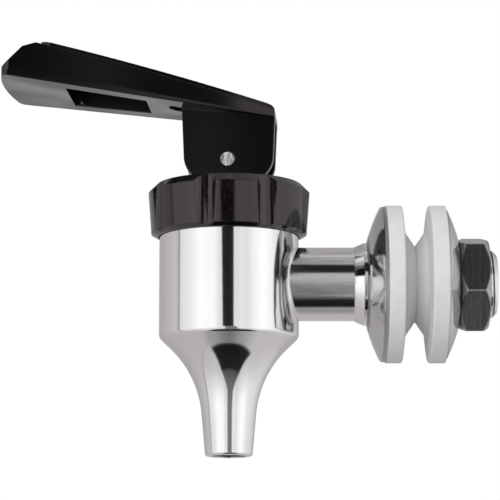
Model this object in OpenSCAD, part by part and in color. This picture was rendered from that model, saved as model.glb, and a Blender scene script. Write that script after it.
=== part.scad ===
// Push-lever spigot for a beverage dispenser, with its wall seals and clamping nut.
// The origin is on the shank axis in the wall plane, where the two silicone bosses meet.
// +X runs out of the threaded end, +Z is up, and the lever's free end points to -X.

/* [Valve body] */
// Distance from the wall plane to the upright valve axis
valve_reach = 43.8; // [42:0.1:60]
// Outside radius of the valve body
body_r = 16.45; // [16:0.05:19]
// Wall of the valve body round its chamber
body_wall = 3.7; // [3:0.1:4]
// Depth of the body's cylinder below the shank axis
body_drop = 12.7; // [12.5:0.1:20]
// Height of the body's open top above the shank axis
cup_rise = 18.5; // [17:0.1:26]
// Rounding of the body's lower corner
body_corner = 1.6; // [0.4:0.1:2]
// Height of the screwed zone under the cap
cup_thread_h = 6.6; // [4:0.1:7.5]
// How far the screwed zone is turned down from the body
cup_thread_step = 0.75; // [0.4:0.05:1]

/* [Spout] */
// Distance from the shank axis down to the spout's mouth
spout_drop = 40.6; // [38:0.1:60]
// Outside radius of the spout at its mouth
spout_tip_r = 5.6; // [5.2:0.1:6.4]
// Taper of the spout's side in degrees
spout_taper = 4.7; // [2:0.1:6]
// Slope of the funnel under the body in degrees from upright
funnel_slope = 46; // [40:1:52]
// Radius of the concave curve from the funnel to the spout
funnel_curve_r = 24; // [14:0.5:25]
// Radius of the outlet bore
outlet_r = 4.2; // [3:0.1:4.4]
// Rounding of the spout's mouth
spout_rim = 0.7; // [0.3:0.1:0.9]

/* [Shank] */
// Outside radius of the shank between body and flange
shank_r = 8.7; // [8.3:0.05:9.2]
// Radius of the flange that the front dish leans on
flange_r = 9.75; // [9.4:0.05:10.4]
// Length of the cone that rises to the flange
flange_cone = 2.3; // [1.5:0.1:4]
// Width of the flange's rim
flange_rim = 0.8; // [0.5:0.1:2]
// Outside radius of the threaded end
thread_r = 8; // [7.6:0.05:8.2]
// Length of the threaded end beyond the wall plane
thread_end = 19.1; // [18.8:0.1:40]
// Radius of the water bore through the shank
shank_bore_r = 5.5; // [4:0.1:6]
// Chamfer on the threaded end
thread_chamfer = 1; // [0.5:0.1:1.5]

/* [Valve seat] */
// Depth of the seat below the shank axis
seat_drop = 10; // [9:0.1:11]
// Height of the seat ring above the chamber floor
seat_ring_h = 1; // [0.5:0.1:1.2]
// Width of the seat ring round the outlet bore
seat_ring_w = 2.2; // [1.5:0.1:2.4]
// Chamfer round the chamber's floor
floor_chamfer = 1.5; // [0.5:0.1:2]

/* [Bonnet cap] */
// How far the cap's upper corner stands out beyond the body
cap_over = 2.65; // [2.4:0.05:4]
// How much the cap narrows from its upper corner to its foot
cap_taper = 0.7; // [0:0.05:0.8]
// Height of the cap from its lip to its top face
cap_h = 12.45; // [11:0.05:18]
// Height of the chamfer round the cap's top
cap_chamfer_h = 1.9; // [1:0.1:3]
// Width of the chamfer round the cap's top
cap_chamfer_w = 1.9; // [1:0.1:3]
// Height of the sloped lip under the skirt
cap_lip_h = 0.85; // [0.4:0.05:1.4]
// Thickness of the cap's top wall at the stem
cap_top_wall = 2.5; // [1.8:0.1:2.8]
// Height of the spring's recess above the clamping face
cap_recess = 1; // [0.6:0.1:1.5]
// Width of the clamping face inside the seat cup's neck
clamp_lip = 0.8; // [0.4:0.1:1.2]
// Number of finger flutes
flute_count = 8; // [6:1:12]
// Radius of the round cutter of each flute
flute_r = 3; // [1.5:0.1:3.4]
// Depth of each flute below the cap's upper corner
flute_depth = 1.8; // [0.8:0.05:1.85]
// Depth of each flute at the foot of the skirt, above the lip
flute_foot_depth = 0.85; // [0.5:0.05:1.2]
// Turn of the flutes about the valve axis in degrees
flute_turn = -17; // [-20:1:20]

/* [Stem and spring] */
// Radius of the stem's rod
stem_r = 3.75; // [3.2:0.05:4]
// Radius of the collar that carries the spring washer
collar_r = 6.2; // [5.6:0.1:6.4]
// Thickness of the collar
collar_t = 1.2; // [0.8:0.1:1.6]
// Radius of the stem's foot inside the seat cup
foot_r = 5.6; // [4.8:0.1:5.8]
// Height of the stem's foot
foot_h = 2.4; // [1.6:0.1:3]
// Height of the neck between foot and collar
neck_h = 2.2; // [1.6:0.1:3]
// Height of the stem's top above the pin
stem_over = 3.95; // [3.4:0.05:5]
// Rounding of the stem's top edge
stem_round = 1.2; // [0.4:0.1:2]
// Radius of the spring's wire
wire_r = 0.5; // [0.3:0.05:0.6]
// Radius of the spring's coil, to the middle of the wire
coil_r = 5.3; // [4.8:0.1:5.5]
// Number of turns of the spring
coil_turns = 7; // [4:1:8]
// Thickness of the spring washer
spring_washer_t = 0.8; // [0.5:0.1:1.2]

/* [Seat cup] */
// Thickness of the cup's clamped rim
cup_rim_t = 1.5; // [1:0.1:2]
// Wall of the cup's bell
cup_wall = 1.2; // [0.8:0.1:1.6]
// Outside radius of the bell at its foot
cup_foot_r = 8; // [7.8:0.1:8.6]
// Outside radius of the bell at its rim
cup_neck_r = 10.8; // [9.8:0.1:11]
// Thickness of the sealing tip
cup_tip_t = 2.2; // [1.5:0.1:3]
// Chamfer round the sealing tip
cup_tip_chamfer = 1; // [0.4:0.1:1.4]

/* [Lever] */
// Turn of the lever about the valve axis in degrees
lever_turn = -3.4; // [-45:0.1:45]
// Radius of the hinge pin
pin_r = 1.65; // [1.2:0.05:2]
// Height of the hinge pin above the foot of the fork
pin_rise = 5.3; // [4.5:0.1:7]
// Distance from the pin to the fork's front edge, level with the lower corners
fork_front = 10.35; // [9:0.05:12]
// Distance from the pin to the back end of the fork and the arm
fork_back = 11.2; // [10:0.05:13]
// Lean of the fork's front edge in degrees from upright
fork_lean = 2.4; // [0:0.1:4]
// Radius of the fork's lower corners
fork_corner_r = 6; // [3:0.1:6.5]
// Thickness of each fork cheek
cheek_t = 2.2; // [1.6:0.1:3]
// Height of the arm's underside above the pin, at the pin
arm_rise = 11.3; // [10:0.1:18]
// Slope of the arm's underside in degrees
arm_slope = 8.1; // [4:0.1:12]
// Length of the arm from the pin to the middle of its free end
arm_reach = 53.9; // [45:0.1:75]
// Half the width of the arm at its free end
arm_end_half = 16.9; // [14:0.1:20]
// Half the width of the arm at its back end
arm_back_half = 7.6; // [7.2:0.1:12]
// Thickness of the arm at its back end
arm_back_t = 2.45; // [2.2:0.05:5]
// Slope of the arm's top face in degrees
arm_top_slope = 14.1; // [12:0.1:16]
// Height that the top face is crowned above a straight line
arm_crown = 0.55; // [0:0.05:1]
// Radius of the free end seen from above
arm_end_r = 85; // [40:1:200]
// Lean of the end face in degrees from upright
end_lean = 45; // [20:1:50]
// Height of the upright lower edge of the end face
end_edge_h = 2.4; // [0.8:0.1:3]
// Width of the chamfer between the end face and the top face
end_chamfer = 0.6; // [0.3:0.1:1.6]
// Rounding of the back top corner of the arm and its plate
back_round = 1.8; // [1.4:0.1:2]
// Height at the free end of the bevel along the arm's lower side edges
bevel_h = 2.3; // [1:0.1:3]
// Height of that bevel at the arm's back end
bevel_back_h = 0.3; // [0.2:0.1:1]
// Lean of that bevel in degrees from upright
bevel_lean = 8; // [5:1:30]
// Rounding of the arm's corners seen from above
arm_corner_r = 2.2; // [1:0.1:4]

/* [Underside pocket] */
// Distance from the pin to the pocket's inner end
pocket_near = 19.2; // [17:0.1:24]
// Distance from the pin to the pocket's outer end
pocket_far = 38.1; // [30:0.1:40]
// Width of the arm's rim at each side of the pocket
pocket_rim = 5.1; // [3:0.1:6]
// Thickness of the arm left above the pocket
pocket_roof = 1.6; // [1:0.1:2]
// Thickness of the short rib in the pocket
pocket_rib_t = 0.7; // [0.6:0.1:1.6]
// Height of the rib's lower edge above the arm's underside
pocket_rib_lift = 0.4; // [0.2:0.1:2]
// Distance of the rib from the pocket's outer end
pocket_rib_set = 1.5; // [1:0.1:5]
// How far the rib stands out from the pocket's far wall
pocket_rib_w = 2.6; // [1:0.1:4]
// Radius of the round mould mark beside the fork
mark_r = 3; // [1:0.1:4]
// Distance of the mark's middle from the pin
mark_set = 11.2; // [8:0.1:14]
// Distance of the mark's middle from the lever's middle plane
mark_side = 2.7; // [0:0.1:4]
// Depth of the mark
mark_depth = 0.4; // [0.2:0.1:1]

/* [Top plate] */
// Depth that the plate is let into the arm
plate_let = 0.8; // [0.5:0.1:1]
// Height that the plate stands above the arm
plate_proud = 1; // [0.3:0.1:1.1]
// Distance of the plate's edge from the arm's side
plate_inset = 0.9; // [0.6:0.1:2]
// Distance from the pin to the plate's outer end
plate_reach = 43.8; // [38:0.1:46]
// Rounding of the plate's outer corners seen from above
plate_corner_r = 3; // [1:0.1:4]

/* [Silicone washers] */
// Outside radius of each silicone washer
washer_r = 18.6; // [17.5:0.05:24]
// Distance from the wall plane to the washer's rim
rim_set = 3.15; // [2.9:0.05:5]
// Width of the washer's rim
rim_w = 3.8; // [2.5:0.1:5]
// Rounding of the rim's front edge
rim_round = 0.4; // [0.3:0.1:1.2]
// Radius at the foot of the conical boss
boss_foot_r = 12.5; // [11:0.1:14]
// Distance from the wall plane to the foot of the boss
boss_set = 2.45; // [2.2:0.05:2.8]
// Radius at the tip of the boss
boss_tip_r = 8.9; // [8.7:0.05:9.6]

/* [Dished washers] */
// Thickness of each dished washer's sheet
dish_t = 1.1; // [0.8:0.05:1.5]
// Rounding of the dish's outer edge
dish_edge_r = 0.8; // [0.3:0.1:0.8]
// Outside radius of the dished dome
dish_dome_r = 40; // [34:0.5:60]
// Width of the dish's flat hub beyond the flange
hub_over = 0.25; // [0.2:0.05:1]
// Distance of the front dish's edge inside the silicone washer's edge
front_dish_lip = 0.25; // [0:0.05:0.8]
// Distance of the rear dish's edge inside the silicone washer's edge
rear_dish_lip = 0.65; // [0.5:0.05:1]
// Depth that the rear dish is let into its silicone washer
rear_nest = 1.1; // [0.5:0.1:1.4]

/* [Nut] */
// Width of the nut across its flats
nut_af = 20.6; // [19:0.1:24]
// Thickness of the nut
nut_t = 6.9; // [5:0.1:7.5]
// Turn of the nut's corners about the shank in degrees
nut_turn = 15; // [0:1:60]
// Height of the nut's corner chamfers
nut_chamfer_h = 1.4; // [0.4:0.1:1.6]
// Width of the nut's corner chamfers
nut_chamfer_w = 1.6; // [1:0.1:2.4]

/* [Clearances] */
// Radial clearance of the stem in the cap and of the lever on its pin
running_gap = 0.06; // [0.03:0.01:0.09]
// Clearance beside the stem in the fork
side_gap = 0.3; // [0.2:0.05:0.5]
// Clearance between parts that slide or turn face to face
face_gap = 0.15; // [0.1:0.01:0.25]
// Clearance between parts that are screwed or slipped together
fit_gap = 0.15; // [0.05:0.01:0.2]

/* [Hidden] */
$fn = 96;
// Sides of the lever's large arcs, and steps along its crowned top
wide_fn = 360;
crown_steps = 10;
// Steps along the dished washers' dome
dome_steps = 10;
// Sides and steps a turn of the spring's wire
wire_sides = 6;
wire_steps = 18;
// Small overlap that lets a cutter run past the face it opens
over = 1;

// Radii and heights of the body's inside
chamber_r = body_r - body_wall;
cup_thread_r = body_r - cup_thread_step;
floor_z = -seat_drop - seat_ring_h;

// Heights of the cap, which clamps the seat cup's rim on the body
clamp_z = cup_rise + cup_rim_t;
cap_ceiling = clamp_z + cap_recess;
cap_top = cap_ceiling + cap_top_wall;
cap_base = cap_top - cap_h;
cap_r = body_r + cap_over;
cap_foot_r = cap_r - cap_taper;
clamp_r = cup_neck_r - cup_wall - clamp_lip;
thread_base = cup_rise - cup_thread_h;
flute_lean = atan((cap_taper - flute_depth + flute_foot_depth) / (cap_h - cap_chamfer_h - cap_lip_h));

// Heights of the stem, from the sealing tip upwards
cup_floor = -seat_drop + cup_tip_t;
foot_z = cup_floor + face_gap;
neck_z = foot_z + foot_h;
collar_z = neck_z + neck_h;
washer_z = collar_z + collar_t + face_gap;
spring_z = washer_z + spring_washer_t;
pin_z = cap_top + face_gap + pin_rise;
stem_top = pin_z + stem_over;
// Gaps between the spring and what it bears on, and between its closed turns
spring_gap = face_gap / 3;
closed_pitch = 2 * wire_r + spring_gap;

// Widths of the fork, height of its lower corners' middle and how far it reaches into the arm
slot_half = stem_r + side_gap;
fork_out = slot_half + cheek_t;
corner_z = fork_corner_r - pin_rise;
fork_root = arm_back_t / 8;

// Positions along the shank: centre of the dish's dome, its hub and the nut
dome_in_r = dish_dome_r - dish_t;
front_dish_r = washer_r - front_dish_lip;
rear_dish_r = washer_r - rear_dish_lip;
front_dome_x = sqrt(dome_in_r * dome_in_r - front_dish_r * front_dish_r) - rim_set - rim_w;
hub_r = flange_r + hub_over;
flange_x = front_dome_x - sqrt(dish_dome_r * dish_dome_r - hub_r * hub_r);
slip_r = thread_r + fit_gap;
nut_x = -flange_x - rear_nest;

// Points of an arc, counted from angle a to angle b
function arc(c, r, a, b, n) = [for (i = [0:n]) c + r * [cos(a + (b - a) * i / n), sin(a + (b - a) * i / n)]];

// Half width of the arm at the distance u from the pin, where the free end is at -arm_reach
function arm_half(u) =
    arm_back_half + (arm_end_half - arm_back_half) * (fork_back - u) / (fork_back + arm_reach);

// Height of the arm's underside and of its crowned top face above the pin
function arm_low(u) = arm_rise - u * tan(arm_slope);
function crown(u) = arm_crown * (1 - pow(2 * (u + arm_reach / 2) / arm_reach, 2));
function arm_high(u) =
    arm_low(fork_back) + arm_back_t + (fork_back - u) * tan(arm_top_slope) + crown(u);

// How far the fork's leaning edge stands out at the height h
function fork_spread(h) =
    fork_corner_r * (1 / cos(fork_lean) - 1) + (h - corner_z) * tan(fork_lean);

// Points along the crowned top face from a to b, raised by lift
function top_line(a, b, lift) =
    [for (i = [0:crown_steps]) let (u = a + (b - a) * i / crown_steps) [u, arm_high(u) + lift]];

// Slant of the arm's sides, and middle of the arc that rounds its outer corner on the far side
side_slant = (arm_end_half - arm_back_half) / (fork_back + arm_reach);
end_x = arm_end_r - arm_reach;
corner_side = arm_half(0) - arm_corner_r * sqrt(1 + side_slant * side_slant);
corner_mid = (end_x + corner_side * side_slant) / (1 + side_slant * side_slant);
corner_x = corner_mid - sqrt(corner_mid * corner_mid - (end_x * end_x + corner_side * corner_side
           - pow(arm_end_r - arm_corner_r, 2)) / (1 + side_slant * side_slant));
corner_y = corner_side - side_slant * corner_x;
corner_turn = atan2(corner_y, corner_x - end_x);

// Height of the curve's lower end, so that the spout, the curve and the funnel run into each other
curve_z = (body_r - spout_tip_r - spout_drop * tan(spout_taper)
           - funnel_curve_r * (cos(spout_taper) - cos(funnel_slope))
           + (body_drop + funnel_curve_r * (sin(funnel_slope) - sin(spout_taper))) * tan(funnel_slope))
          / (tan(spout_taper) - tan(funnel_slope));
curve_r = spout_tip_r + (curve_z + spout_drop) * tan(spout_taper);

// Outline of the body's round part, as radius and height
function body_outline() = concat(
    [[0, -spout_drop]],
    arc([spout_tip_r - spout_rim, -spout_drop + spout_rim], spout_rim, -90, 0, 5),
    arc([curve_r + funnel_curve_r * cos(spout_taper), curve_z - funnel_curve_r * sin(spout_taper)],
        funnel_curve_r, 180 - spout_taper, 180 - funnel_slope, 14),
    arc([body_r - body_corner, -body_drop + body_corner * tan(funnel_slope / 2)],
        body_corner, funnel_slope - 90, 0, 5),
    [[body_r, thread_base], [cup_thread_r, thread_base], [cup_thread_r, cup_rise], [0, cup_rise]]);

module at_valve() {
    translate([-valve_reach, 0, 0]) children();
}

module at_pin() {
    translate([-valve_reach, 0, pin_z]) rotate([0, 0, lever_turn]) children();
}

// Turns an outline of radius and distance about the shank axis
module turn_on_shank() {
    rotate([0, 90, 0]) rotate_extrude() children();
}

// Shank, flange and threaded end as one turned solid
module shank_solid() {
    start = -valve_reach + chamber_r;
    turn_on_shank() polygon([
        [0, start], [shank_r, start], [shank_r, flange_x - flange_rim - flange_cone],
        [flange_r, flange_x - flange_rim], [flange_r, flange_x], [thread_r, flange_x],
        [thread_r, thread_end - thread_chamfer], [thread_r - thread_chamfer, thread_end], [0, thread_end]]);
}

// Chamber with the raised seat ring round the outlet
module chamber_cut() {
    rotate_extrude() polygon([
        [0, -seat_drop], [outlet_r + seat_ring_w, -seat_drop], [outlet_r + seat_ring_w, floor_z],
        [chamber_r - floor_chamfer, floor_z], [chamber_r, floor_z + floor_chamfer],
        [chamber_r, cup_rise + over], [0, cup_rise + over]]);
}

module valve_body() {
    color("silver") difference() {
        union() {
            at_valve() rotate_extrude() polygon(body_outline());
            shank_solid();
        }
        at_valve() chamber_cut();
        at_valve() translate([0, 0, -spout_drop - over]) cylinder(r = outlet_r, h = spout_drop);
        translate([-valve_reach, 0, 0]) rotate([0, 90, 0])
            cylinder(r = shank_bore_r, h = valve_reach + thread_end + over);
    }
}

// Outline of the cap's wall, as radius and height
function cap_outline() = [
    [stem_r + running_gap, cap_top], [cap_r - cap_chamfer_w, cap_top], [cap_r, cap_top - cap_chamfer_h],
    [cap_foot_r, cap_base + cap_lip_h], [body_r + 2 * fit_gap, cap_base],
    [body_r + fit_gap, thread_base + fit_gap], [cup_thread_r + fit_gap, thread_base + fit_gap],
    [cup_thread_r + fit_gap, clamp_z], [clamp_r, clamp_z], [clamp_r, cap_ceiling],
    [stem_r + running_gap, cap_ceiling]];

module bonnet_cap() {
    color([0.08, 0.07, 0.07]) at_valve() difference() {
        rotate_extrude() polygon(cap_outline());
        for (i = [0:flute_count - 1])
            rotate([0, 0, flute_turn - 90 + i * 360 / flute_count])
                translate([cap_r - flute_depth + flute_r, 0, cap_top - cap_chamfer_h])
                    rotate([0, flute_lean, 0]) translate([0, 0, -2 * cap_h])
                        cylinder(r = flute_r, h = 3 * cap_h);
    }
}

// The arm seen from above, with its curved free end and rounded corners
module arm_plan() {
    polygon(concat(
        [[fork_back, arm_half(fork_back)]],
        arc([corner_x, corner_y], arm_corner_r, 90 - atan(side_slant), corner_turn, 6),
        arc([end_x, 0], arm_end_r, corner_turn, 360 - corner_turn, 24),
        arc([corner_x, -corner_y], arm_corner_r, 360 - corner_turn, 270 + atan(side_slant), 6),
        [[fork_back, -arm_half(fork_back)]]));
}

// Side view of the arm between two heights above its underside and its top face
module arm_side(low, high, from, to) {
    polygon(concat([[from, arm_low(from) + low], [to, arm_low(to) + low]], top_line(to, from, high)));
}

// Side view of a plain band between two heights above the arm's underside
module under_side(low, high, from, to) {
    polygon([[from, arm_low(from) + low], [to, arm_low(to) + low],
             [to, arm_low(to) + high], [from, arm_low(from) + high]]);
}

// Side view of the arm and its plate together, with the rounded corner at the back
module lever_side() {
    lift = plate_proud - back_round / cos(arm_top_slope) + back_round * tan(arm_top_slope);
    centre = [fork_back - back_round, arm_high(fork_back) + lift];
    polygon(concat(
        [[-arm_reach, arm_low(-arm_reach) - over], [fork_back, arm_low(fork_back) - over]],
        arc(centre, back_round, 0, 90 - arm_top_slope, 6),
        top_line(fork_back - back_round, -arm_reach, plate_proud)));
}

// Stands a side view upright on the lever's middle plane
module upright(half) {
    translate([0, half, 0]) rotate([90, 0, 0]) linear_extrude(2 * half) children();
}

// Round-fronted block whose side leans back from the point u, z
module end_block(u, z, lean) {
    translate([u, 0, z]) rotate([0, lean, 0])
        translate([arm_end_r, 0, -arm_end_r]) cylinder(r = arm_end_r, h = 2 * arm_end_r, $fn = wide_fn);
}

// Leaning end face, with the chamfer that leads over to the top face
module end_face() {
    low = arm_low(-arm_reach) + end_edge_h;
    rise = (arm_high(-arm_reach) - low) / (1 + tan(end_lean) * tan(arm_top_slope))
           - end_chamfer * cos(end_lean) / 2;
    intersection() {
        end_block(-arm_reach, low, end_lean);
        end_block(rise * tan(end_lean) - arm_reach, low + rise, (90 + arm_top_slope + end_lean) / 2);
    }
}

// Block outside the bevel along the far side of the arm
module bevel_cut() {
    run = (fork_back + arm_reach) * sqrt(1 + side_slant * side_slant);
    start = arm_low(fork_back) + bevel_back_h;
    rise = arm_low(-arm_reach) + bevel_h - start;
    translate([fork_back, arm_half(fork_back), start])
        rotate([0, 0, -atan(side_slant)]) rotate([0, atan(rise / run), 0]) rotate([-bevel_lean, 0, 0])
            translate([-2 * run, 0, -arm_reach]) cube([3 * run, arm_reach, 2 * arm_reach]);
}

module arm_solid() {
    difference() {
        intersection() {
            upright(arm_end_half + over) intersection() {
                arm_side(0, 0, -arm_reach, fork_back);
                lever_side();
            }
            linear_extrude(2 * arm_reach) arm_plan();
            end_face();
        }
        bevel_cut();
        mirror([0, 1, 0]) bevel_cut();
    }
}

// Two cheeks that hang from the arm and cam on the cap with their lower corners
module fork() {
    front = -fork_front - fork_spread(arm_low(-fork_front) + fork_root);
    back = fork_back - fork_spread(arm_low(fork_back) + fork_root);
    upright(fork_out) polygon(concat(
        [[fork_back, arm_low(fork_back) + fork_root], [front, arm_low(-fork_front) + fork_root]],
        arc([fork_corner_r - fork_front, corner_z], fork_corner_r, 180 + fork_lean, 270, 12),
        arc([back - fork_corner_r, corner_z], fork_corner_r, 270, 360 - fork_lean, 12)));
}

module fork_slot() {
    front = -fork_front - 2 * over;
    back = fork_back + over;
    upright(slot_half) polygon([
        [front, -pin_rise - over], [back, -pin_rise - over], [back, arm_low(back)], [front, arm_low(front)]]);
}

// Shallow round mould mark in the arm's underside, cut off short of the fork
module mould_mark() {
    intersection() {
        upright(arm_end_half) under_side(-over, mark_depth, -2 * mark_set,
            -fork_front - fork_spread(arm_low(-fork_front)) - face_gap);
        translate([-mark_set, -mark_side, 0]) cylinder(r = mark_r, h = 2 * arm_reach);
    }
}

// Hollow under the arm, with a short rib near its outer end
module pocket() {
    rib = pocket_rib_set - pocket_far;
    difference() {
        intersection() {
            upright(arm_end_half) arm_side(-over, -plate_let - pocket_roof, -pocket_far, -pocket_near);
            linear_extrude(2 * arm_reach) polygon([
                [-pocket_far, pocket_rim - arm_half(-pocket_far)],
                [-pocket_near, pocket_rim - arm_half(-pocket_near)],
                [-pocket_near, arm_half(-pocket_near) - pocket_rim],
                [-pocket_far, arm_half(-pocket_far) - pocket_rim]]);
        }
        translate([rib, arm_half(rib) - pocket_rim - pocket_rib_w, arm_low(rib) + pocket_rib_lift])
            cube([pocket_rib_t, arm_end_half, arm_reach]);
    }
}

// The plate's form from its underside upwards, running past the back end, which also cuts its seat
module plate_shape() {
    back = fork_back + over;
    high = plate_proud + over;
    mid = [plate_corner_r - plate_reach,
           arm_half(plate_corner_r - plate_reach) - plate_inset
           - plate_corner_r * sqrt(1 + side_slant * side_slant)];
    edge = arm_half(back) - plate_inset;
    intersection() {
        upright(arm_end_half)
            polygon(concat(top_line(-plate_reach, back, -plate_let), top_line(back, -plate_reach, high)));
        linear_extrude(2 * arm_reach) polygon(concat(
            [[back, edge]], arc(mid, plate_corner_r, 90 - atan(side_slant), 180, 6),
            arc([mid[0], -mid[1]], plate_corner_r, 180, 270 + atan(side_slant), 6), [[back, -edge]]));
    }
}

module lever() {
    color([0.06, 0.05, 0.05]) at_pin() difference() {
        union() {
            arm_solid();
            fork();
        }
        fork_slot();
        pocket();
        mould_mark();
        plate_shape();
        translate([0, fork_out + over, 0]) rotate([90, 0, 0])
            cylinder(r = pin_r + running_gap, h = 2 * (fork_out + over));
    }
}

module lever_top_plate() {
    color([0.1, 0.09, 0.09]) at_pin() intersection() {
        plate_shape();
        upright(arm_end_half) lever_side();
    }
}

module hinge_pin() {
    color("gainsboro") at_pin() translate([0, fork_out, 0]) rotate([90, 0, 0])
        cylinder(r = pin_r, h = 2 * fork_out);
}

module stem() {
    color("ivory") difference() {
        at_valve() rotate_extrude() polygon(concat(
            [[0, foot_z], [foot_r, foot_z], [foot_r, neck_z], [stem_r, neck_z], [stem_r, collar_z],
             [collar_r, collar_z], [collar_r, collar_z + collar_t], [stem_r, collar_z + collar_t]],
            arc([stem_r - stem_round, stem_top - stem_round], stem_round, 0, 90, 5),
            [[0, stem_top]]));
        at_pin() translate([0, stem_r + over, 0]) rotate([90, 0, 0])
            cylinder(r = pin_r, h = 2 * (stem_r + over));
    }
}

// Height of the wire along the coil, whose two end turns are closed
function coil_z(t) = let (
    s = t * coil_turns,
    low = spring_z + wire_r + spring_gap,
    high = cap_ceiling - wire_r - spring_gap)
    low + closed_pitch * (min(1, s) + max(0, s - coil_turns + 1))
    + (high - low - 2 * closed_pitch) * max(0, min(1, (s - 1) / (coil_turns - 2)));

// Points round the wire at one place on the coil
function wire_ring(t) = let (a = 360 * coil_turns * t) [for (k = [0:wire_sides - 1])
    let (b = 360 * k / wire_sides)
    [(coil_r + wire_r * cos(b)) * cos(a), (coil_r + wire_r * cos(b)) * sin(a), coil_z(t) + wire_r * sin(b)]];

module spring() {
    rings = coil_turns * wire_steps;
    points = [for (i = [0:rings]) each wire_ring(i / rings)];
    skin = [for (i = [0:rings - 1], k = [0:wire_sides - 1])
            let (a = i * wire_sides + k, b = i * wire_sides + (k + 1) % wire_sides)
            [a, a + wire_sides, b + wire_sides, b]];
    ends = [[for (k = [0:wire_sides - 1]) k], [for (k = [wire_sides - 1:-1:0]) rings * wire_sides + k]];
    color("lightgrey") at_valve() polyhedron(points = points, faces = concat(skin, ends), convexity = 8);
}

module spring_washer() {
    color("lightgrey") at_valve() translate([0, 0, washer_z]) difference() {
        cylinder(r = collar_r, h = spring_washer_t);
        translate([0, 0, -over]) cylinder(r = stem_r + running_gap, h = spring_washer_t + 2 * over);
    }
}

// Bell whose rim is clamped under the cap and whose closed tip seals the outlet
module seat_cup() {
    lip_low = neck_z + face_gap;
    lip_high = collar_z - face_gap;
    inner_foot = cup_foot_r - cup_wall;
    color("whitesmoke") at_valve() rotate_extrude() polygon([
        [0, -seat_drop], [cup_foot_r - cup_tip_chamfer, -seat_drop],
        [cup_foot_r, cup_tip_chamfer - seat_drop],
        [cup_foot_r, collar_z], [cup_neck_r, cup_rise], [cup_thread_r, cup_rise],
        [cup_thread_r, clamp_z], [cup_neck_r - cup_wall, clamp_z],
        [inner_foot, collar_z], [inner_foot, lip_high], [stem_r + side_gap, lip_high],
        [stem_r + side_gap, lip_low], [foot_r + face_gap, lip_low], [foot_r + face_gap, cup_floor],
        [0, cup_floor]]);
}

// Points along a dome of radius c about the point x on the shank axis, from the hub to the edge r
function dome_line(x, c, r) =
    [for (i = [0:dome_steps]) let (q = hub_r + (r - hub_r) * i / dome_steps) [q, x - sqrt(c * c - q * q)]];
function turned(points) = [for (i = [len(points) - 1:-1:0]) points[i]];

// Dished sheet with a flat hub, domed towards -X about the point x, with a rounded edge of radius r
module dish(x, r) {
    inner = dome_line(x, dome_in_r, r);
    mid_c = dish_dome_r - dish_edge_r;
    mid_r = r - dish_edge_r;
    color("silver") turn_on_shank() polygon(concat(
        [[slip_r, inner[0][1]], [slip_r, flange_x + x - front_dome_x]],
        dome_line(x, dish_dome_r, mid_r * dish_dome_r / mid_c),
        arc([mid_r, x - sqrt(mid_c * mid_c - mid_r * mid_r)], dish_edge_r, -acos(mid_r / mid_c), 0, 5),
        turned(inner)));
}

// Washer on the -X side of the wall, with its dish of edge radius r let in by nest
module silicone(r, nest) {
    seat = dome_line(front_dome_x + nest, dome_in_r, r);
    back = -rim_set - rim_w;
    color([0.86, 0.86, 0.84]) turn_on_shank() polygon(concat(
        [[slip_r, 0], [slip_r, seat[0][1]]], seat,
        nest > 0 ? [[r, back], [washer_r, back]] : [[washer_r, back]],
        arc([washer_r - rim_round, -rim_set - rim_round], rim_round, 0, 75, 5),
        [[boss_foot_r, -boss_set], [boss_tip_r, 0]]));
}

module front_dish_washer() {
    dish(front_dome_x, front_dish_r);
}

module front_silicone_washer() {
    silicone(front_dish_r, 0);
}

module rear_silicone_washer() {
    mirror([1, 0, 0]) silicone(rear_dish_r, rear_nest);
}

module rear_dish_washer() {
    mirror([1, 0, 0]) dish(front_dome_x + rear_nest, rear_dish_r);
}

module hex_nut() {
    flat_r = nut_af / 2;
    wide_r = flat_r + nut_chamfer_w;
    color("silver") difference() {
        intersection() {
            translate([nut_x, 0, 0]) rotate([0, 90, 0]) rotate([0, 0, 90 + nut_turn])
                cylinder(r = flat_r / cos(30), h = nut_t, $fn = 6);
            turn_on_shank() polygon([
                [0, nut_x], [flat_r, nut_x], [wide_r, nut_x + nut_chamfer_h],
                [wide_r, nut_x + nut_t - nut_chamfer_h], [flat_r, nut_x + nut_t], [0, nut_x + nut_t]]);
        }
        translate([nut_x - over, 0, 0]) rotate([0, 90, 0]) cylinder(r = slip_r, h = nut_t + 2 * over);
    }
}

valve_body();
bonnet_cap();
lever();
lever_top_plate();
hinge_pin();
stem();
spring();
spring_washer();
seat_cup();
front_dish_washer();
front_silicone_washer();
rear_silicone_washer();
rear_dish_washer();
hex_nut();
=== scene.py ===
import math

import bpy
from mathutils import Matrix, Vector


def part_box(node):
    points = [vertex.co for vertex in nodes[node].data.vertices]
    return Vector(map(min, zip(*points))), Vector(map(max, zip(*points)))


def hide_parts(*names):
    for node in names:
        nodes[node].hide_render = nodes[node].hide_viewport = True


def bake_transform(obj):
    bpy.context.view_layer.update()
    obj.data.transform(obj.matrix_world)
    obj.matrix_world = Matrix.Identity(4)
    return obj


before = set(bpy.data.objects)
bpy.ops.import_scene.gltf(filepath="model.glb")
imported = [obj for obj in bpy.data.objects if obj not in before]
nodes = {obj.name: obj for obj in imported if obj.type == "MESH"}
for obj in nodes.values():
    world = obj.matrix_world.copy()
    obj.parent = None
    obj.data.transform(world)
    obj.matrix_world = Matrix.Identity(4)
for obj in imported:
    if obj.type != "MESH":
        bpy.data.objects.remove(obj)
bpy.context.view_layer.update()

# Places on the object, in metres
VALVE_X = -0.0438          # upright axis of the body, the spout and the cap
TURNED_REACH = 0.0166      # distance from that axis at which the shank's turned finish begins
FLANGE_X = -0.0136         # where the shank ends and the flange begins
PAINTED_LIGHT_FOOT_Z = -0.0050      # below this height the shank's colour is painted lighter, as painted light
PAINTED_LIGHT_TOP_Z = 0.0045        # and a little lighter above this one, also painted light
FUNNEL_CURVE = 0.024       # radius of the funnel's concave curve
FUNNEL_CURVE_Z = -0.03266  # height of that curve's centre
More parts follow.
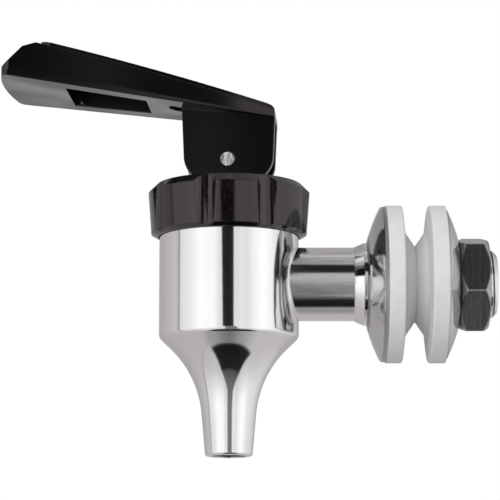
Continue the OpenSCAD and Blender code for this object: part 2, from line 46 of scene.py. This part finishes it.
FUNNEL_SLOPE = 46          # steepest slope of the funnel, degrees from upright
SPOUT_TAPER = 4.7          # slope of the spout, degrees from upright
CORNER = 0.0016            # radius of the corner between body and funnel
CORNER_Z = -0.01202        # height of that corner's centre
DISH_CURVE = 0.0365        # radius that the dished washers' faces mirror with
HUB_R = 0.0113             # radius up to which a dished washer's colour is painted dark, as painted shade of the flange
POCKET_WALL_Y = 0.004      # near side of the far wall in the lever's pocket, where that wall's painted light begins
THREAD_PITCH = 0.0015
THREAD_PHASE = 0.53        # share of a turn that sets where the groove meets the camera's side
THREAD_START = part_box("hex_nut")[1].x


# Node helpers
def new_tree(owner):
    """The emptied node tree of a material or a world."""
    owner.use_nodes = True
    owner.node_tree.nodes.clear()
    return owner.node_tree


def material(name):
    """A new material, its node tree and its shader."""
    m = bpy.data.materials.new(name)
    t = new_tree(m)
    out = add(t, "ShaderNodeOutputMaterial")
    b = add(t, "ShaderNodeBsdfPrincipled")
    t.links.new(b.outputs[0], out.inputs[0])
    return m, t, b


def add(t, kind, **settings):
    n = t.nodes.new(kind)
    for name, value in settings.items():
        setattr(n, name, value)
    return n


def feed(t, value, socket):
    """Links another node's output to a socket, or writes a plain number or colour into it."""
    if hasattr(value, "node"):
        t.links.new(value, socket)
    elif isinstance(value, tuple):
        socket.default_value = (*value, 1)
    else:
        socket.default_value = value


def math_node(t, op, *parts, clamp=False):
    n = add(t, "ShaderNodeMath", operation=op, use_clamp=clamp)
    for value, socket in zip(parts, n.inputs):
        feed(t, value, socket)
    return n.outputs[0]


def product(t, first, *others):
    for other in others:
        first = math_node(t, "MULTIPLY", first, other)
    return first


def total(t, first, *others):
    for other in others:
        first = math_node(t, "ADD", first, other)
    return first


def distance(t, a, b):
    """Length of the hypotenuse over a and b."""
    return math_node(t, "SQRT", total(t, product(t, a, a), product(t, b, b)))


def step(t, v, a, b, lo=0.0, hi=1.0):
    """Smooth step of v from lo at a to hi at b."""
    n = add(t, "ShaderNodeMapRange", interpolation_type="SMOOTHSTEP")
    for value, socket in zip((v, a, b, lo, hi), n.inputs):
        feed(t, value, socket)
    return n.outputs[0]


def band(t, v, lo_a, lo_b, hi_a, hi_b):
    """1 where v lies between two soft edges, 0 outside."""
    return product(t, step(t, v, lo_a, lo_b), step(t, v, hi_a, hi_b, 1, 0))


def vector_node(t, op, a, b=None, scale=None):
    n = add(t, "ShaderNodeVectorMath", operation=op)
    t.links.new(a, n.inputs[0])
    if b is not None:
        t.links.new(b, n.inputs[1])
    if scale is not None:
        t.links.new(scale, n.inputs["Scale"])
    return n.outputs["Value" if op == "DOT_PRODUCT" else "Vector"]


def split(t, vector):
    n = add(t, "ShaderNodeSeparateXYZ")
    t.links.new(vector, n.inputs[0])
    return n.outputs


def combined(t, *parts):
    n = add(t, "ShaderNodeCombineXYZ")
    for value, socket in zip(parts, n.inputs):
        feed(t, value, socket)
    return n.outputs[0]


def coords(t):
    """The place on the object as a vector, and its x, y and z."""
    place = add(t, "ShaderNodeTexCoord").outputs["Object"]
    return place, split(t, place)


def noise(t, place, scale, detail=2.0, rough=0.5, stretch=(1, 1, 1)):
    stretched = add(t, "ShaderNodeMapping")
    stretched.inputs["Scale"].default_value = stretch
    t.links.new(place, stretched.inputs["Vector"])
    n = add(t, "ShaderNodeTexNoise")
    n.inputs["Scale"].default_value = scale
    n.inputs["Detail"].default_value = detail
    n.inputs["Roughness"].default_value = rough
    t.links.new(stretched.outputs[0], n.inputs["Vector"])
    return n.outputs["Fac"]


def ramp(t, v, *stops):
    """Colour of v along stops, each a place from 0 to 1 and a colour."""
    n = add(t, "ShaderNodeValToRGB")
    ends = n.color_ramp.elements
    ends[0].position, ends[1].position = stops[0][0], stops[-1][0]
    ends[0].color, ends[1].color = (*stops[0][1], 1), (*stops[-1][1], 1)
    for place, colour in stops[1:-1]:
        ends.new(place).color = (*colour, 1)
    t.links.new(v, n.inputs[0])
    return n.outputs[0]


def surface(t, b, colour, roughness, normal, metallic=0):
    """Joins a material's colour, roughness and normal to its shader."""
    feed(t, colour, b.inputs["Base Color"])
    feed(t, roughness, b.inputs["Roughness"])
    feed(t, normal, b.inputs["Normal"])
    b.inputs["Metallic"].default_value = metallic


def mixed(t, share, first, second, blend_type="MIX"):
    """The first colour, with a share of the second."""
    n = add(t, "ShaderNodeMix", data_type="RGBA", blend_type=blend_type)
    for value, socket in ((share, n.inputs[0]), (first, n.inputs[6]), (second, n.inputs[7])):
        feed(t, value, socket)
    return n.outputs[2]


# Normals
def bevelled(t, radius):
    """Normal over corners that a bevel of radius softens."""
    v = add(t, "ShaderNodeBevel", samples=6)
    v.inputs["Radius"].default_value = radius
    return v.outputs[0]


def raised(t, height, strength, depth, normal):
    """The given normal with a height pattern on it."""
    n = add(t, "ShaderNodeBump")
    n.inputs["Strength"].default_value = strength
    n.inputs["Distance"].default_value = depth
    t.links.new(height, n.inputs["Height"])
    t.links.new(normal, n.inputs["Normal"])
    return n.outputs[0]


def where_close(t, exact, normal, apart, alike):
    """The exact normal where the mesh's normal nearly agrees with it, and the mesh's elsewhere."""
    n = add(t, "ShaderNodeMix", data_type="VECTOR")
    t.links.new(step(t, vector_node(t, "DOT_PRODUCT", exact, normal), apart, alike), n.inputs[0])
    t.links.new(normal, n.inputs[4])
    t.links.new(exact, n.inputs[5])
    return n.outputs[1]


def lathed(t, normal):
    """The exact normal of the turned body, funnel and spout."""
    xyz = coords(t)[1]
    curve = math_node(t, "DIVIDE", math_node(t, "SUBTRACT", xyz[2], FUNNEL_CURVE_Z), FUNNEL_CURVE)
    curve = math_node(t, "MAXIMUM", curve, math.sin(math.radians(SPOUT_TAPER)))
    curve = math_node(t, "MINIMUM", curve, math.sin(math.radians(FUNNEL_SLOPE)))
    corner = math_node(t, "DIVIDE", math_node(t, "SUBTRACT", CORNER_Z, xyz[2]), CORNER, clamp=True)
    down = math_node(t, "MINIMUM", curve, corner)
    out = math_node(t, "SQRT", math_node(t, "SUBTRACT", 1, product(t, down, down)))
    away = combined(t, math_node(t, "SUBTRACT", xyz[0], VALVE_X), xyz[1], 0)
    level = vector_node(t, "SCALE", vector_node(t, "NORMALIZE", away), scale=out)
    exact = vector_node(t, "ADD", level, combined(t, 0, 0, product(t, down, -1)))
    return where_close(t, exact, normal, 0.975, 0.995)


def domed(t, r, side, normal):
    """The exact normal of a dished washer's face, which looks to side -1 or +1 along x."""
    xyz = coords(t)[1]
    tilt = math_node(t, "DIVIDE", r, DISH_CURVE)
    ahead = math_node(t, "SQRT", math_node(t, "SUBTRACT", 1, product(t, tilt, tilt), clamp=True))
    exact = combined(t, product(t, ahead, side), math_node(t, "DIVIDE", xyz[1], DISH_CURVE),
                     math_node(t, "DIVIDE", xyz[2], DISH_CURVE))
    return where_close(t, exact, normal, 0.35, 0.50)


# Materials
def thread_groove(t, xyz):
    """1 in the bottom of the thread's groove past the nut, 0 on its crests and on all else: the mask of the
    groove's bump and of its painted shade.
    """
    around = math_node(t, "DIVIDE", math_node(t, "ARCTAN2", xyz[1], xyz[2]), math.tau)
    along = math_node(t, "MULTIPLY_ADD", xyz[0], 1 / THREAD_PITCH, THREAD_PHASE)
    wave = math_node(t, "SINE", product(t, total(t, around, along), math.tau))
    return product(t, step(t, wave, 0.3, 1.0), step(t, xyz[0], THREAD_START, THREAD_START + 0.0002))


def polished_steel():
    """Polished valve body with faint upright hairlines, its turned and duller shank painted lighter below
    and above its middle as painted light, and its thread with painted shade in its groove.
    """
    m, t, b = material("polished_stainless")
    place, xyz = coords(t)
    lathe = noise(t, place, 1300, 3, 0.6, (0.12, 1, 1))
    hair = noise(t, place, 2600, 3, 0.6, (1, 1, 0.08))
    grain = noise(t, place, 5200, 2, 0.7)
    cloud = noise(t, place, 60, 3)
    groove = thread_groove(t, xyz)
    reach = distance(t, math_node(t, "SUBTRACT", xyz[0], VALVE_X), xyz[1])
    turned = product(t, step(t, reach, TURNED_REACH, TURNED_REACH + 0.0005),
                     step(t, xyz[0], FLANGE_X, FLANGE_X - 0.0007))

    clean = total(t, product(t, cloud, 0.5), product(t, hair, 0.2), product(t, grain, 0.3))
    turned_marks = total(t, product(t, lathe, 0.4), product(t, grain, 0.6))
    # Painted light: the shank's colour is made lighter below its middle, and a little lighter above it.
    below = step(t, xyz[2], PAINTED_LIGHT_FOOT_Z, PAINTED_LIGHT_FOOT_Z - 0.0016)
    above = step(t, xyz[2], PAINTED_LIGHT_TOP_Z, PAINTED_LIGHT_TOP_Z + 0.0015, 0, 0.10)
    body = ramp(t, clean, (0.34, (0.83, 0.826, 0.828)), (0.66, (0.95, 0.945, 0.946)))
    shank = ramp(t, turned_marks, (0.30, (0.66, 0.657, 0.662)), (0.65, (0.97, 0.966, 0.972)))
    shank = mixed(t, total(t, below, above), shank, (0.88, 0.876, 0.884))
    # Painted shade: the bottom of the thread's groove is coloured near black.
    colour = mixed(t, groove, mixed(t, turned, body, shank), (0.10, 0.098, 0.10))
    rough = total(t, product(t, turned, 0.05), product(t, clean, 0.06), 0.06)
    cut = raised(t, product(t, groove, -1), 0.9, 0.0002, lathed(t, bevelled(t, 0.0004)))
    relief = total(t, product(t, lathe, turned, 0.9), product(t, hair, 0.12))
    surface(t, b, colour, rough, raised(t, relief, 0.12, 0.00005, cut), metallic=1)
    return m


def spun(t, low, high, rough):
    """Distance from the shank's axis, spinning marks in rings about it, a clouded colour and roughness."""
    place, xyz = coords(t)
    r = distance(t, xyz[1], xyz[2])
    rings = noise(t, combined(t, r, 0, 0), 3200, 3, 0.6)
    colour = ramp(t, noise(t, place, 90, 3), (0.3, low), (0.7, high))
    return r, rings, colour, total(t, product(t, rings, 0.06), rough - 0.03)


def spun_steel(name, low, high):
    """Drawn and stamped steel of the spring and its washer."""
    m, t, b = material(name)
    _, rings, colour, rough = spun(t, low, high, 0.2)
    surface(t, b, colour, rough, raised(t, rings, 0.1, 0.00003, bevelled(t, 0.0001)), metallic=1)
    return m


def dished_steel(name, low, high, side):
    """Spun steel of a dished washer, whose face looks to side -1 or +1 along x.

    It is dull on its rim's edge, and has painted shade where its hub meets the flange.
    """
    m, t, b = material(name)
    r, rings, colour, rough = spun(t, low, high, 0.12)
    normal = bevelled(t, 0.0003)
    rim = step(t, product(t, split(t, normal)[0], side), 0.02, 0.30, 0.4, 0)
    # Painted shade: the colour turns dark near the hub, where the flange meets it.
    hub = step(t, r, HUB_R, HUB_R + 0.0005, 1, 0)
    surface(t, b, mixed(t, hub, colour, (0.22, 0.216, 0.22)), total(t, rough, rim),
            raised(t, rings, 0.1, 0.00003, domed(t, r, side, normal)), metallic=1)
    return m


def cut_steel():
    """Cut end of the hinge pin: dull, scratched and lighter in patches."""
    m, t, b = material("cut_pin_steel")
    scratch = noise(t, coords(t)[0], 1700, 4, 0.7, (1, 1, 0.35))
    colour = ramp(t, scratch, (0.38, (0.16, 0.152, 0.155)), (0.60, (0.72, 0.70, 0.70)))
    normal = raised(t, scratch, 0.5, 0.00008, bevelled(t, 0.0003))
    surface(t, b, colour, 0.3, normal, metallic=0.3)
    return m


def nut_steel():
    """Darker nut with brushed faces and a trace of dull film."""
    m, t, b = material("brushed_nut_steel")
    fine = noise(t, coords(t)[0], 1500, 4, 0.7, (1, 0.12, 0.12))
    colour = ramp(t, fine, (0.3, (0.36, 0.352, 0.356)), (0.7, (0.56, 0.55, 0.555)))
    normal = raised(t, fine, 0.3, 0.00005, bevelled(t, 0.0005))
    surface(t, b, colour, total(t, product(t, fine, 0.1), 0.14), normal, metallic=0.96)
    return m


def black_plastic(name, low, high, rough, radius, grain, ior, pocket=None):
    """Glossy black moulding with a faint wave and fine specks.

    With a pocket colour, the underside has sunk a little as it cooled, and the far wall inside the
    lever's pocket is painted in that lighter colour, as painted light.
    """
    m, t, b = material(name)
    place, xyz = coords(t)
    wave = noise(t, place, 70, 2)
    speck = noise(t, place, 2600, 2, 0.6)
    normal = bevelled(t, radius)
    colour = ramp(t, speck, (0.50, low), (0.75, high))
    if pocket:
        face = split(t, normal)
        # Painted light: the pocket's far wall is coloured lighter than the rest of the lever.
        far_wall_painted_light = product(t, step(t, face[1], -0.40, -0.80),
                           step(t, xyz[1], POCKET_WALL_Y, POCKET_WALL_Y + 0.002))
        sunk = product(t, step(t, face[2], -0.80, -0.95), noise(t, place, 45, 1))
        colour = mixed(t, far_wall_painted_light, colour, pocket)
        normal = raised(t, sunk, 1, 0.0016, normal)
    dull = product(t, step(t, speck, 0.5, 0.7), 0.5 * grain * grain)
    relief = total(t, product(t, wave, 1 - grain), product(t, speck, grain))
    surface(t, b, colour, total(t, product(t, wave, 0.06), rough - 0.03, dull),
            raised(t, relief, 0.03, 0.0001, normal))
    b.inputs["IOR"].default_value = ior
    b.inputs["Specular Tint"].default_value = (1, 0.90, 0.93, 1)
    return m


def silicone():
    """Pale silicone rubber, semi-matt with fine mottling."""
    m, t, b = material("pale_silicone")
    place, _ = coords(t)
    mottle = noise(t, place, 260, 4, 0.6)
    colour = ramp(t, mottle, (0.3, (0.655, 0.645, 0.645)), (0.7, (0.70, 0.69, 0.69)))
    normal = raised(t, noise(t, place, 2400, 2), 0.1, 0.00005, bevelled(t, 0.0005))
    surface(t, b, colour, total(t, product(t, mottle, 0.12), 0.42), normal)
    b.inputs["IOR"].default_value = 1.42
    b.inputs["Subsurface Weight"].default_value = 0.15
    b.inputs["Subsurface Radius"].default_value = (0.002, 0.002, 0.0018)
    b.inputs["Subsurface Scale"].default_value = 0.5
    return m


def stem_plastic():
    """Natural white moulded plastic."""
    m, t, b = material("stem_plastic")
    mottle = noise(t, coords(t)[0], 800, 3)
    colour = ramp(t, mottle, (0.3, (0.60, 0.585, 0.55)), (0.7, (0.66, 0.645, 0.61)))
    normal = raised(t, mottle, 0.08, 0.00004, bevelled(t, 0.0002))
    surface(t, b, colour, total(t, product(t, mottle, 0.1), 0.35), normal)
    return m


rubber = silicone()
LOOKS = {
    "valve_body": polished_steel(),
    "bonnet_cap": black_plastic("gloss_black_cap", (0.0035, 0.0028, 0.0030), (0.0180, 0.0160, 0.0165),
                                rough=0.10, radius=0.0004, grain=0.4, ior=1.68),
    "lever": black_plastic("gloss_black_lever", (0.0035, 0.0028, 0.0030), (0.0050, 0.0042, 0.0044),
                           rough=0.12, radius=0.0004, grain=0.1, ior=1.58,
                           # lighter colour painted on the pocket's far wall as painted light
                           pocket=(0.022, 0.02134, 0.02156)),
    "lever_top_plate": black_plastic("gloss_black_plate", (0.0030, 0.0025, 0.0027), (0.0045, 0.0038, 0.0040),
                                     rough=0.11, radius=0.0003, grain=0.1, ior=1.42),
    "hinge_pin": cut_steel(),
    "stem": stem_plastic(),
    "spring": spun_steel("spring_wire", (0.62, 0.61, 0.60), (0.72, 0.71, 0.70)),
    "spring_washer": spun_steel("washer_steel", (0.66, 0.65, 0.64), (0.76, 0.75, 0.74)),
    "seat_cup": rubber,
    # The two dished washers are one steel, but the rear one's colour is painted lighter: lit and shaded
    # copies, painted light.
    "front_dish_washer": dished_steel("spun_stainless", (0.64, 0.638, 0.642), (0.76, 0.757, 0.762), side=-1),
    "rear_dish_washer": dished_steel("spun_stainless_rear_painted_lighter", (0.74, 0.737, 0.742), (0.84, 0.837, 0.842),
                                     side=1),
    "front_silicone_washer": rubber,
    "rear_silicone_washer": rubber,
    "hex_nut": nut_steel(),
}
for name, obj in nodes.items():
    obj.data.materials.clear()
    obj.data.materials.append(LOOKS[name])


# Copies of the parts that flex with the lift
def soft_copy(name):
    """A copy of a CAD node, with its placement baked into its mesh, shown in place of the hidden node."""
    obj = bpy.data.objects.new(name + "_flexing", nodes[name].data.copy())
    bpy.context.scene.collection.objects.link(obj)
    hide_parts(name)
    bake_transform(obj)


soft_copy("spring")
soft_copy("seat_cup")


# Studio
def grey(v):
    """The studio's grey, with the photograph's faint warmth in all but its whites."""
    warm = min(1, max(0, 2 * (1 - v)))
    return (v * (1 + 0.012 * warm), v * (1 - 0.033 * warm), v * (1 - 0.022 * warm))


def flat_piece(name, corners, mat):
    """One polygon of the studio."""
    mesh = bpy.data.meshes.new(name)
    mesh.from_pydata(corners, [], [tuple(range(len(corners)))])
    mesh.materials.append(mat)
    obj = bpy.data.objects.new(name, mesh)
    bpy.context.scene.collection.objects.link(obj)
    return obj


def glow(name, axis, *stops):
    """Card material that glows by the stops along an axis (0 for x, 2 for z): place in metres and grey."""
    m = bpy.data.materials.new(name)
    t = new_tree(m)
    low, high = stops[0][0], stops[-1][0]
    along = math_node(t, "SUBTRACT", coords(t)[1][axis], low)
    share = math_node(t, "DIVIDE", along, high - low, clamp=True)
    colour = ramp(t, share, *(((place - low) / (high - low), grey(v)) for place, v in stops))
    light = add(t, "ShaderNodeEmission")
    feed(t, colour, light.inputs["Color"])
    out = add(t, "ShaderNodeOutputMaterial")
    t.links.new(light.outputs[0], out.inputs[0])
    return m


def card(name, depth, outline, mat):
    """A card that only reflections see, drawn in x and z at a depth along y."""
    obj = flat_piece(name, [(x, depth, z) for x, z in outline], mat)
    obj.visible_camera = obj.visible_diffuse = obj.visible_shadow = obj.visible_transmission = False


def stand_card():
    """The dark camera stand in front of the tap, as its body, funnel and spout mirror it."""
    foot, top = -0.104, 0.0345
    right = ((0.012, foot), (-0.0095, -0.078), (-0.0235, -0.061), (-0.0260, -0.045),
             (-0.0290, -0.0085), (-0.0345, -0.0065), (-0.0345, top))
    left = ((-0.0590, top), (-0.0555, -0.0065), (-0.0515, -0.0085), (-0.0505, -0.061),
            (-0.0620, -0.078), (-0.080, foot))
    card("stand_card", -0.076, right + left,
         glow("stand_glow", 2, (foot, 0.065), (-0.090, 0.10), (-0.078, 0.14), (-0.061, 0.17),
              (-0.045, 0.21), (-0.010, 0.20), (-0.006, 0.016), (top, 0.014)))


def lever_card():
    """The dark above that stand, with one pale strip, as the lever's side mirrors it."""
    left, right, foot, top = -0.150, -0.026, 0.040, 0.120
    card("lever_card", -0.110, ((left, foot), (right, foot), (right, top), (left, top)),
         glow("lever_glow", 0, (left, 0.0), (-0.095, 0.002), (-0.080, 0.04), (-0.063, 0.17),
              (-0.056, 0.11), (-0.050, 0.04), (right, 0.05)))


def pale_floor():
    """A pale floor well below the tap, bright to the camera and hidden from reflections."""
    m = bpy.data.materials.new("pale_floor")
    t = new_tree(m)
    paint = add(t, "ShaderNodeBsdfDiffuse")
    paint.inputs["Color"].default_value = (0.82, 0.82, 0.82, 1)
    light = add(t, "ShaderNodeEmission")
    light.inputs["Strength"].default_value = 0.55
    both = add(t, "ShaderNodeAddShader")
    t.links.new(paint.outputs[0], both.inputs[0])
    t.links.new(light.outputs[0], both.inputs[1])
    out = add(t, "ShaderNodeOutputMaterial")
    t.links.new(both.outputs[0], out.inputs[0])
    reach, level = 4, -0.16
    obj = flat_piece("floor", [(-reach, -reach, level), (reach, -reach, level),
                               (reach, reach, level), (-reach, reach, level)], m)
    obj.visible_glossy = obj.visible_diffuse = False


def key_light():
    data = bpy.data.lights.new("key", "AREA")
    data.size = 0.5
    data.energy = 3.2
    obj = bpy.data.objects.new("key", data)
    bpy.context.scene.collection.objects.link(obj)
    obj.location = (-0.30, -0.62, 0.18)
    obj.rotation_euler = (Vector((-0.03, 0, 0)) - obj.location).to_track_quat("-Z", "Y").to_euler()
    obj.visible_glossy = False


# Brightness of the studio round the tap: degrees from the camera, to the right as positive, and grey
RING = ((-180, 0.55), (-174, 0.55), (-168, 0.42), (-140, 0.45), (-100, 0.58), (-92, 0.55),
        (-91, 0.22), (-89, 0.22), (-88, 0.79), (-66, 0.92), (-48, 1.13), (-24, 1.08), (-14, 0.84),
        (15, 0.83), (22, 0.90), (29, 0.82), (42, 1.0), (57, 1.15), (70, 1.05), (84, 0.88),
        (107, 0.80), (137, 0.62), (150, 0.46), (168, 0.42), (174, 0.55), (180, 0.55))


def at(degrees):
    """Place on the ring from 0 to 1."""
    return degrees / 360 + 0.5


def flags(t, x, y, z):
    """How much two level dark flags, one above and one below the camera, take from the studio's light.

    Their soft edges are given where a ray from the tap crosses a level plane one unit above or below it.
    """
    above = math_node(t, "MAXIMUM", z, 0.001)
    under = math_node(t, "MAXIMUM", product(t, z, -1), 0.001)
    upper = product(t, band(t, math_node(t, "DIVIDE", x, above), -1.2, -1.0, 1.0, 1.2),
                    band(t, math_node(t, "DIVIDE", y, above), -2.1, -1.75, -0.7, -0.6))
    lower = product(t, band(t, math_node(t, "DIVIDE", x, under), -0.46, -0.38, 0.60, 0.68),
                    band(t, math_node(t, "DIVIDE", y, under), -0.88, -0.80, -0.15, -0.05))
    return math_node(t, "MAXIMUM", product(t, upper, 0.983), product(t, lower, 0.972))


def dim_zones(t, turn, y, z):
    """How much each darker zone of the studio takes from its light."""
    ground = step(t, z, -0.88, -0.995, 0, 0.4)
    # The narrow strip in front that the shank mirrors, darker low down
    strip = product(t, band(t, turn, at(-3.5), at(-2.0), at(4.0), at(5.5)),
                    step(t, z, -0.35, 0.30, 0.80, 0.43), step(t, z, -0.80, -0.60))
    # Overhead and in front, over the shank and the flange
    roof = product(t, step(t, z, 0.80, 0.90, 0, 0.49), step(t, y, 0.05, -0.05))
    # Over the left softbox, as the flange's cone and the cap's shoulder mirror it
    upper_left = product(t, band(t, turn, at(-75), at(-60), at(-2), at(0.5)),
                         step(t, z, 0.26, 0.36, 0, 0.62))
    # High behind the tap, as the upper parts of the dished washers mirror it
    high_behind = product(t, step(t, y, 0, 0.3), step(t, z, 0.18, 0.36, 0, 0.22))
    return ground, strip, roof, upper_left, high_behind


def mirrored_studio(t):
    """Colour of the studio as the tap's polished and black parts mirror it."""
    x, y, z = split(t, add(t, "ShaderNodeTexCoord").outputs["Generated"])
    azimuth = math_node(t, "DIVIDE", math_node(t, "ARCTAN2", x, product(t, y, -1)), math.pi)
    turn = total(t, product(t, azimuth, 0.5), 0.5)
    ring = ramp(t, turn, *((at(degrees), grey(v)) for degrees, v in RING))
    evened = mixed(t, step(t, z, -0.15, -0.85, 0, 0.85), ring, grey(0.50))
    shade = math_node(t, "SUBTRACT", 1, flags(t, x, y, z))
    for taken in dim_zones(t, turn, y, z):
        shade = product(t, shade, math_node(t, "SUBTRACT", 1, taken))
    return mixed(t, 1, evened, shade, "MULTIPLY")


def background(t, colour, strength=1):
    n = add(t, "ShaderNodeBackground")
    feed(t, colour, n.inputs["Color"])
    n.inputs["Strength"].default_value = strength
    return n.outputs[0]


def studio_world():
    """White to the camera, the studio to reflections, and an even soft light to all else."""
    world = bpy.data.worlds.new("studio")
    bpy.context.scene.world = world
    t = new_tree(world)
    ray = add(t, "ShaderNodeLightPath").outputs
    reflected = math_node(t, "MAXIMUM", ray["Is Glossy Ray"], ray["Is Transmission Ray"])
    light = add(t, "ShaderNodeMixShader")
    t.links.new(reflected, light.inputs[0])
    t.links.new(background(t, (1, 0.995, 0.99), 0.62), light.inputs[1])
    t.links.new(background(t, mirrored_studio(t)), light.inputs[2])
    seen = add(t, "ShaderNodeMixShader")
    t.links.new(ray["Is Camera Ray"], seen.inputs[0])
    t.links.new(light.outputs[0], seen.inputs[1])
    t.links.new(background(t, (1, 1, 1)), seen.inputs[2])
    out = add(t, "ShaderNodeOutputWorld")
    t.links.new(seen.outputs[0], out.inputs[0])


def photograph_camera():
    """A long lens a little below the tap, looking up at it from its side."""
    turn, lift = math.radians(0.3), math.radians(9.3)
    forward = Vector((math.sin(turn) * math.cos(lift), math.cos(turn) * math.cos(lift), math.sin(lift)))
    data = bpy.data.cameras.new("camera")
    data.sensor_width = 36
    data.lens = 180
    data.clip_start = 0.01
    data.clip_end = 20
    cam = bpy.data.objects.new("camera", data)
    bpy.context.scene.collection.objects.link(cam)
    cam.location = (-0.0419, -0.5833, -0.0873)
    cam.rotation_euler = forward.to_track_quat("-Z", "Y").to_euler()
    bpy.context.scene.camera = cam


stand_card()
lever_card()
pale_floor()
key_light()
studio_world()
photograph_camera()
bpy.context.scene.view_settings.view_transform = "Standard"
